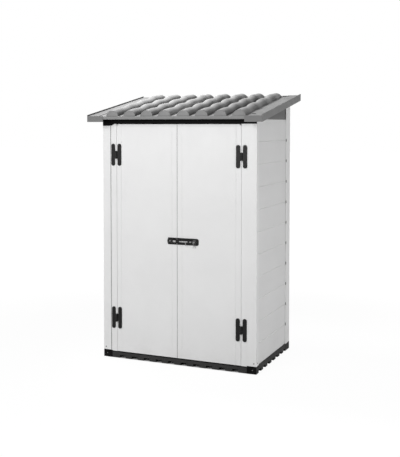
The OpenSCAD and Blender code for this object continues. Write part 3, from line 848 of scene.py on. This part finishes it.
def thickened(bm, thickness, scene):
    """The sheet of a bmesh as a solid of this thickness below it, with rounded rims."""
    mesh = bpy.data.meshes.new("sheet")
    bm.to_mesh(mesh)
    bm.free()
    sheet = bpy.data.objects.new("sheet", mesh)
    scene.collection.objects.link(sheet)
    thick = sheet.modifiers.new("Sheet", "SOLIDIFY")
    thick.thickness = thickness
    thick.offset = -1
    rounded = sheet.modifiers.new("Round", "BEVEL")
    rounded.width = RIM
    rounded.segments = 2
    rounded.limit_method = "ANGLE"
    rounded.angle_limit = RIM_ANGLE
    shaped = sheet.evaluated_get(bpy.context.evaluated_depsgraph_get())
    solid = bpy.data.meshes.new_from_object(shaped)
    bpy.data.objects.remove(sheet)
    bpy.data.meshes.remove(mesh)
    made = bmesh.new()
    made.from_mesh(solid)
    bpy.data.meshes.remove(solid)
    return made


def build_tile_panel(scene, side):
    """One tiled panel: fascia, tile fronts, arched rows on a flat sheet, and a rear lip."""
    roof = scene.shed_roof
    name = "left" if side < 0 else "right"
    low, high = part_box(f"roof_panel_{name}")
    joint, outer = (high.x, low.x) if side < 0 else (low.x, high.x)
    slope = math.tan(roof.slope)
    rise, run = math.sin(roof.slope), math.cos(roof.slope)
    tile_front = low.y + roof.plate_step
    length = (high.y - roof.rear_border - tile_front) / run
    bm = bmesh.new()

    def sheet_z(y):
        return low.z + roof.lip + (y - low.y) * slope

    def section(along):
        return panel_section(roof, along, length, abs(outer - joint))

    def level_ring(points, y, z, share=0.0):
        """A section that stands upright, with a share of the rows' height."""
        return [bm.verts.new((joint + side * across, y, z + share * up)) for across, up in points]

    def slope_ring(points, y):
        """A section that stands square on the slope."""
        return [
            bm.verts.new((joint + side * across, y - up * rise, sheet_z(y) + up * run))
            for across, up in points
        ]

    front, rear = section(0.0), section(length)
    rings = [
        level_ring(front, low.y, low.z),
        level_ring(front, low.y, low.z + roof.lip),
        level_ring(front, tile_front, sheet_z(tile_front)),
        level_ring(front, tile_front, sheet_z(tile_front), share=1.0),
    ]
    for along in section_places(roof, length):
        rings.append(slope_ring(section(along), tile_front + along * run))
    rings.append(level_ring(rear, high.y, sheet_z(high.y)))
    rings.append(level_ring(rear, high.y, sheet_z(high.y) - roof.lip))
    bridge_rings(bm, rings, closed=False)
    bmesh.ops.remove_doubles(bm, verts=bm.verts, dist=WELD)
    bmesh.ops.dissolve_degenerate(bm, edges=bm.edges, dist=WELD)
    bmesh.ops.recalc_face_normals(bm, faces=bm.faces)
    if sum(face.normal.z * face.calc_area() for face in bm.faces) < 0:
        bmesh.ops.reverse_faces(bm, faces=bm.faces)
    solid = thickened(bm, roof.sheet, scene)
    piece = finish_piece(f"tile_panel_{name}", solid, "frame", "roof_tile", scene)
    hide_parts(f"roof_panel_{name}")


# Operators


class SHED_OT_paint_body(bpy.types.Operator):
    """Gives posts, doors, jambs and planks their white plastic"""

    bl_idname = "shed.paint_body"
    bl_label = "Paint Body"

    def execute(self, context):
        paint_nodes(context.scene, "white_frame", "white_wall")
        return {"FINISHED"}


class SHED_OT_paint_roof(bpy.types.Operator):
    """Gives verges, boards and roof panels their grey plastic"""

    bl_idname = "shed.paint_roof"
    bl_label = "Paint Roof"

    def execute(self, context):
        paint_nodes(context.scene, "roof_tile", "roof_trim", "infill_board")
        return {"FINISHED"}


class SHED_OT_paint_base(bpy.types.Operator):
    """Gives the floor, foot caps, top caps and the bar over the doors their dark plastic"""

    bl_idname = "shed.paint_base"
    bl_label = "Paint Base and Caps"

    def execute(self, context):
        paint_nodes(context.scene, "base_plastic", "black_plastic")
        return {"FINISHED"}


class SHED_OT_paint_metal(bpy.types.Operator):
    """Gives hinges and latch their black coat and the moving parts their zinc"""

    bl_idname = "shed.paint_metal"
    bl_label = "Paint Metal"

    def execute(self, context):
        paint_nodes(context.scene, "black_metal", "bright_metal")
        return {"FINISHED"}


class SHED_OT_build_tile_panels(bpy.types.Operator):
    """Builds the two tiled roof panels in place of the plain ones"""

    bl_idname = "shed.build_tile_panels"
    bl_label = "Build Tile Panels"

    def execute(self, context):
        for side in SIDES:
            build_tile_panel(context.scene, side)
        return {"FINISHED"}


class SHED_OT_fit_post_plugs(bpy.types.Operator):
    """Fits an oval plug beside each plank joint along the rear posts"""

    bl_idname = "shed.fit_post_plugs"
    bl_label = "Fit Post Plugs"

    def execute(self, context):
        fixings = context.scene.shed_fixings
        proud = 0.0018
        bm = bmesh.new()
        for side, name in zip(SIDES, ("left", "right")):
            low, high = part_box(f"post_rear_{name}")
            face_x = low.x if side < 0 else high.x
            joints = [
                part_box(node)[0].z
                for node in frame["nodes"]
                if node.startswith(f"plank_{name}_") and not node.endswith("_1")
            ]
            for z in joints:
                place = facing((face_x, low.y + fixings.plug_inset, z), (side, 0, 0))
                add_dome(bm, place, fixings.plug_width, fixings.plug_height, proud)
        finish_piece("post_plugs", bm, "frame", "black_plastic", context.scene)
        return {"FINISHED"}


class SHED_OT_fit_post_screws(bpy.types.Operator):
    """Fits the screws at the feet of the front posts and in the corner foot caps"""

    bl_idname = "shed.fit_post_screws"
    bl_label = "Fit Post Screws"

    def execute(self, context):
        radius = context.scene.shed_fixings.post_screw
        edge, height, back = 0.018, 0.074, 0.024
        dimple_in, dimple_depth, dimple_height = 0.028, 0.002, 0.027
        cap_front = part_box("corner_foot_caps")[0].y
        bm, caps = bmesh.new(), bmesh.new()
        for side, name in zip(SIDES, ("left", "right")):
            low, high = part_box(f"post_front_{name}")
            outer = low.x if side < 0 else high.x
            add_screw(bm, facing((outer - side * edge, low.y, height), (0, -1, 0)), radius)
            add_screw(bm, facing((outer, low.y + back, height), (side, 0, 0)), radius)
            dimple = (outer - side * dimple_in, cap_front + dimple_depth, dimple_height)
            add_screw(caps, facing(dimple, (0, -1, 0)), radius)
        finish_piece("post_screws", bm, "frame", "black_metal", context.scene)
        finish_piece("cap_screws", caps, "frame", "bright_metal", context.scene)
        return {"FINISHED"}


# How far each black strip of painted shade sinks into the part under it
SHADE_STRIP_BITE = 0.0004


class SHED_OT_fit_shade_strips(bpy.types.Operator):
    """Fits the thin black strips of painted shade at the doors, the left post and the boards under
    the roof
    """

    bl_idname = "shed.fit_seals"
    bl_label = "Fit Seals"

    def execute(self, context):
        seals = context.scene.shed_seals
        fixed = bmesh.new()
        self.add_sill(fixed, seals)
        self.add_post_joint(fixed, seals)
        self.add_board_edges(fixed, seals)
        finish_piece("frame_seals", fixed, "frame", "black_plastic", context.scene)
        moving = bmesh.new()
        self.add_door_edge(moving, seals)
        finish_piece("door_edge_seal", moving, "left_door", "black_plastic", context.scene)
        return {"FINISHED"}

    @staticmethod
    def add_sill(bm, seals):
        """A black strip under the doors, between the foot caps: painted shade for the shadow line
        below the doors.
        """
        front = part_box("base_floor")[0].y
        reach = -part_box("post_front_left")[1].x - seals.end_gap
        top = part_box("door_left")[0].z - seals.door_gap
        low = (-reach, front - seals.sill_proud, top - seals.sill_height)
        add_bar(bm, low, (reach, front + SHADE_STRIP_BITE, top), (0, -1, 0))

    @staticmethod
    def add_post_joint(bm, seals):
        """An upright black strip between the left post and its jamb: painted shade for the shaded
        step between them.
        """
        end_room = 0.0005
        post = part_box("post_front_left")[0]
        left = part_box("door_jambs")[0].x
        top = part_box("post_top_caps")[0].z - end_room
        low = (left, post.y - seals.joint_proud, post.z + end_room)
        add_bar(bm, low, (left + seals.joint_width, post.y + SHADE_STRIP_BITE, top), (0, -1, 0))

    @staticmethod
    def add_board_edges(bm, seals):
        """Upright black strips between the gable boards and the rear posts: painted shade for the
        gaps between them.
        """
        lift, post_gap = 0.004, 0.0008
        board_low, board_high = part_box("gable_infills")
        bottom = board_low.z + lift
        top = board_low.z + seals.board_height
        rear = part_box("post_rear_right")[0].y
        for side in SIDES:
            inner = side * (board_high.x - SHADE_STRIP_BITE)
            outer = side * (board_high.x + seals.joint_proud)
            low = (min(inner, outer), rear - seals.board_width, bottom)
            add_bar(bm, low, (max(inner, outer), rear - post_gap, top), (side, 0, 0))

    @staticmethod
    def add_door_edge(bm, seals):
        """A black strip on the left door's edge beside the seam, set in from its faces and ends:
        painted shade for the seam between the doors.
        """
        bite, face_inset, end_inset = 0.0002, 0.001, 0.002
        low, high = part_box("door_left")
        add_bar(
            bm,
            (high.x - bite, low.y + face_inset, low.z + end_inset),
            (high.x + seals.edge_proud, high.y - face_inset, high.z - end_inset),
            (1, 0, 0),
        )


class SHED_OT_fit_verge_shade_strips(bpy.types.Operator):
    """Fits two black strips between the right verge and the roof panel under it: painted shade for
    the small gaps at the verge's front and rear ends
    """

    bl_idname = "shed.fit_verge_clips"
    bl_label = "Fit Verge Clips"

    def execute(self, context):
        roof = context.scene.shed_roof
        low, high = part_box("verge_right")
        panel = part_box("roof_panel_right")[0]
        verge_width, thick, sink, depth = 0.095, 0.0052, 0.002, 0.011
        inner_edge = high.x - verge_width
        bm = bmesh.new()
        # Each strip's place along the slope, and its two ends from the verge's inner edge
        for y, start, end in ((low.y + 0.067, 0.0, 0.025), (high.y - 0.04, -0.036, 0.014)):
            sheet_z = panel.z + roof.lip + (y - panel.y) * math.tan(roof.slope)
            add_bar(
                bm,
                (inner_edge + start, y - depth / 2, sheet_z - sink),
                (inner_edge + end, y + depth / 2, sheet_z + thick),
                (0, 0, 1),
            )
        # black strips of painted shade
        finish_piece("verge_clips", bm, "frame", "black_plastic", context.scene)
        return {"FINISHED"}


class SHED_OT_fit_hinge_screws(bpy.types.Operator):
    """Fits the screws in both bars of each hinge"""

    bl_idname = "shed.fit_hinge_screws"
    bl_label = "Fit Hinge Screws"

    def execute(self, context):
        radius = context.scene.shed_fixings.hinge_screw
        bar_x, leaf, half_height = 0.0255, 0.006, 0.0805
        drops = (-0.062, -0.037, 0.037, 0.062)
        meshes = {"frame": bmesh.new(), "left_door": bmesh.new(), "right_door": bmesh.new()}
        for joint in frame["joints"]:
            if joint["type"] != "hinge" or joint["parent"] != "frame":
                continue
            axis_x = joint["pos_m"][0]
            side = 1 if axis_x > 0 else -1
            name = "right" if side > 0 else "left"
            low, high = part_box(f"hinge_leaves_{name}")
            bars = {"frame": axis_x + side * bar_x, f"{name}_door": axis_x - side * bar_x}
            for middle in (low.z + half_height, high.z - half_height):
                for body, x in bars.items():
                    for drop in drops:
                        place = facing((x, high.y - leaf, middle + drop), (0, -1, 0))
                        add_screw(meshes[body], place, radius)
        for body, bm in meshes.items():
            finish_piece(f"hinge_screws_{body}", bm, body, "black_metal", context.scene)
        return {"FINISHED"}


class SHED_OT_fit_latch_screws(bpy.types.Operator):
    """Fits the screws of the latch plate and its keeper"""

    bl_idname = "shed.fit_latch_screws"
    bl_label = "Fit Latch Screws"

    def execute(self, context):
        radius = context.scene.shed_fixings.latch_screw
        plate_low, plate_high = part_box("latch_plate")
        keeper_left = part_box("latch_keeper")[0].x
        middle = (plate_low.z + plate_high.z) / 2
        thick, rise, keeper_inset, keeper_share = 0.005, 0.016, 0.022, 1.5
        face_y = plate_high.y - thick
        plate, keeper = bmesh.new(), bmesh.new()
        for from_seam in (0.036, 0.076, 0.116):
            for way in SIDES:
                place = facing((plate_low.x + from_seam, face_y, middle + way * rise), (0, -1, 0))
                add_screw(plate, place, radius)
        place = facing((keeper_left + keeper_inset, face_y, middle), (0, -1, 0))
        add_screw(keeper, place, keeper_share * radius)
        finish_piece("latch_screws", plate, "right_door", "black_metal", context.scene)
        finish_piece("keeper_screw", keeper, "left_door", "bright_metal", context.scene)
        return {"FINISHED"}


SHED_MIDDLE = (0, 0, 1.1)
ROOF_MIDDLE = (-0.1, 0, 1.9)

# lamp: place, target, size and spread
LAMPS = {
    "key": ((-1.0, -4.2, 2.6), SHED_MIDDLE, 2.4, math.pi),
    "left": ((-1.3, 0.2, 3.6), ROOF_MIDDLE, 0.6, math.radians(60)),
    "right": ((4.5, -1.0, 1.2), SHED_MIDDLE, 2.4, math.pi),
    "rear": ((-0.8, 4.6, 0.9), SHED_MIDDLE, 2.4, math.pi),
}


class SHED_OT_set_studio(bpy.types.Operator):
    """Sets the pale floor, the white surroundings, the lamps and the camera"""

    bl_idname = "shed.set_studio"
    bl_label = "Set Studio"

    def execute(self, context):
        scene = context.scene
        studio = scene.shed_studio
        scene.view_settings.view_transform = "Standard"
        self.set_world(scene, studio)
        self.lay_floor(scene)
        for name in LAMPS:
            self.hang_lamp(scene, name, getattr(studio, f"{name}_power"))
        self.set_camera(scene, studio)
        return {"FINISHED"}

    @staticmethod
    def seen_directly(w):
        """1 for camera, glossy and transmission rays, and 0 for the light on the object."""
        path = w.node("ShaderNodeLightPath")
        seen = w.math("MAXIMUM", path.outputs["Is Camera Ray"], path.outputs["Is Glossy Ray"])
        return w.math("MAXIMUM", seen, path.outputs["Is Transmission Ray"])

    def set_world(self, scene, studio):
        world = bpy.data.worlds.new("studio")
        scene.world = world
        world.use_nodes = True
        world.node_tree.nodes.clear()
        w = Wiring(world.node_tree)
        background = w.node("ShaderNodeBackground")
        background.inputs["Color"].default_value = (1, 1, 1, 1)
        seen = self.seen_directly(w)
        strength = w.node("ShaderNodeMapRange")
        w.join(seen, strength.inputs["Value"])
        strength.inputs["To Min"].default_value = studio.room_light
        w.join(strength.outputs["Result"], background.inputs["Strength"])
        w.join(background.outputs["Background"], w.node("ShaderNodeOutputWorld").inputs["Surface"])

    def lay_floor(self, scene):
        reach, level, near, far = 45.0, -0.0004, 1.5, 5.0
        shade, glow_level, near_share = 0.5, 1.065, 0.9
        bm = bmesh.new()
        bmesh.ops.create_grid(bm, x_segments=4, y_segments=4, size=reach)
        bmesh.ops.translate(bm, verts=bm.verts, vec=(0, 0, level))
        mesh = bpy.data.meshes.new("floor")
        bm.to_mesh(mesh)
        bm.free()
        floor = bpy.data.objects.new("floor", mesh)
        scene.collection.objects.link(floor)
        material = bpy.data.materials.new("pale_floor")
        material.use_nodes = True
        material.node_tree.nodes.clear()
        w = Wiring(material.node_tree)
        matt = w.node("ShaderNodeBsdfDiffuse")
        matt.inputs["Color"].default_value = (shade, shade, shade, 1)
        away = w.node("ShaderNodeVectorMath", operation="LENGTH")
        w.join(w.node("ShaderNodeTexCoord").outputs["Object"], away.inputs[0])
        open_share = w.ramp(away.outputs["Value"], near, far, near_share, 1.0)
        glow_share = w.math("MULTIPLY", open_share, self.outside_base(w))
        glow = w.node("ShaderNodeEmission")
        glow.inputs["Strength"].default_value = glow_level
        blend = w.node("ShaderNodeMixShader")
        w.join(w.math("MULTIPLY", self.seen_directly(w), glow_share), blend.inputs["Fac"])
        w.join(matt.outputs["BSDF"], blend.inputs[1])
        w.join(glow.outputs["Emission"], blend.inputs[2])
        w.join(blend.outputs["Shader"], w.node("ShaderNodeOutputMaterial").inputs["Surface"])
        mesh.materials.append(material)

    @staticmethod
    def outside_base(w):
        """0 on the floor beneath the shed's base, where no light comes, and 1 outside."""
        low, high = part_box("base_floor")
        inset, blur = 0.04, 0.012
        place = w.node("ShaderNodeSeparateXYZ")
        w.join(w.node("ShaderNodeTexCoord").outputs["Object"], place.inputs[0])
        across = w.math("ABSOLUTE", place.outputs["X"])
        out_x = w.ramp(across, high.x - inset - blur, high.x - inset + blur)
        out_front = w.ramp(place.outputs["Y"], low.y + blur, low.y - blur)
        out_rear = w.ramp(place.outputs["Y"], high.y - inset - blur, high.y - inset + blur)
        return w.math("MAXIMUM", w.math("MAXIMUM", out_x, out_front), out_rear)

    @staticmethod
    def hang_lamp(scene, name, power):
        place, target, size, spread = LAMPS[name]
        light = bpy.data.lights.new(f"{name}_lamp", "AREA")
        light.size = size
        light.energy = power
        light.spread = spread
        lamp = bpy.data.objects.new(f"{name}_lamp", light)
        lamp.location = place
        aim = Vector(target) - Vector(place)
        lamp.rotation_euler = aim.to_track_quat("-Z", "Y").to_euler()
        lamp.visible_camera = False
        scene.collection.objects.link(lamp)

    @staticmethod
    def set_camera(scene, studio):
        data = bpy.data.cameras.new("camera")
        data.lens = studio.lens
        data.shift_y = studio.shift
        data.clip_end = 100
        camera = bpy.data.objects.new("camera", data)
        camera.location = studio.eye
        camera.rotation_euler = (math.pi / 2 - studio.tilt, 0, studio.turn)
        scene.collection.objects.link(camera)
        scene.camera = camera


# Panel and registration


class SHED_PT_sidebar(bpy.types.Panel):
    """Settings and steps of the garden shed"""

    bl_label = "Garden Shed"
    bl_idname = "SHED_PT_sidebar"
    bl_space_type = "VIEW_3D"
    bl_region_type = "UI"
    bl_category = "Garden Shed"

    def draw(self, context):
        for label, group in (
            ("Colours", context.scene.shed_colors),
            ("Roof", context.scene.shed_roof),
            ("Fixings", context.scene.shed_fixings),
            # the black strips of painted shade
            ("Seals", context.scene.shed_seals),
            ("Studio", context.scene.shed_studio),
        ):
            box = self.layout.box()
            box.label(text=label)
            for name in group.__annotations__:
                box.prop(group, name)
        for step in STEPS:
            self.layout.operator(step.bl_idname)


STEPS = (
    SHED_OT_paint_body,
    SHED_OT_paint_roof,
    SHED_OT_paint_base,
    SHED_OT_paint_metal,
    SHED_OT_build_tile_panels,
    SHED_OT_fit_post_plugs,
    SHED_OT_fit_post_screws,
    SHED_OT_fit_shade_strips,
    SHED_OT_fit_verge_shade_strips,
    SHED_OT_fit_hinge_screws,
    SHED_OT_fit_latch_screws,
    SHED_OT_set_studio,
)
SETTINGS = {
    "shed_colors": ShedColors,
    "shed_roof": ShedRoof,
    "shed_fixings": ShedFixings,
    "shed_seals": ShedShadeStrips,
    "shed_studio": ShedStudio,
}


def register():
    for group in SETTINGS.values():
        bpy.utils.register_class(group)
    for step in (*STEPS, SHED_PT_sidebar):
        bpy.utils.register_class(step)
    for name, group in SETTINGS.items():
        setattr(bpy.types.Scene, name, PointerProperty(type=group))


def unregister():
    for name in SETTINGS:
        delattr(bpy.types.Scene, name)
    for step in (SHED_PT_sidebar, *reversed(STEPS)):
        bpy.utils.unregister_class(step)
    for group in SETTINGS.values():
        bpy.utils.unregister_class(group)


def main():
    register()
    for step in STEPS:
        area, name = step.bl_idname.split(".")
        getattr(getattr(bpy.ops, area), name)()


if __name__ == "__main__":
    main()
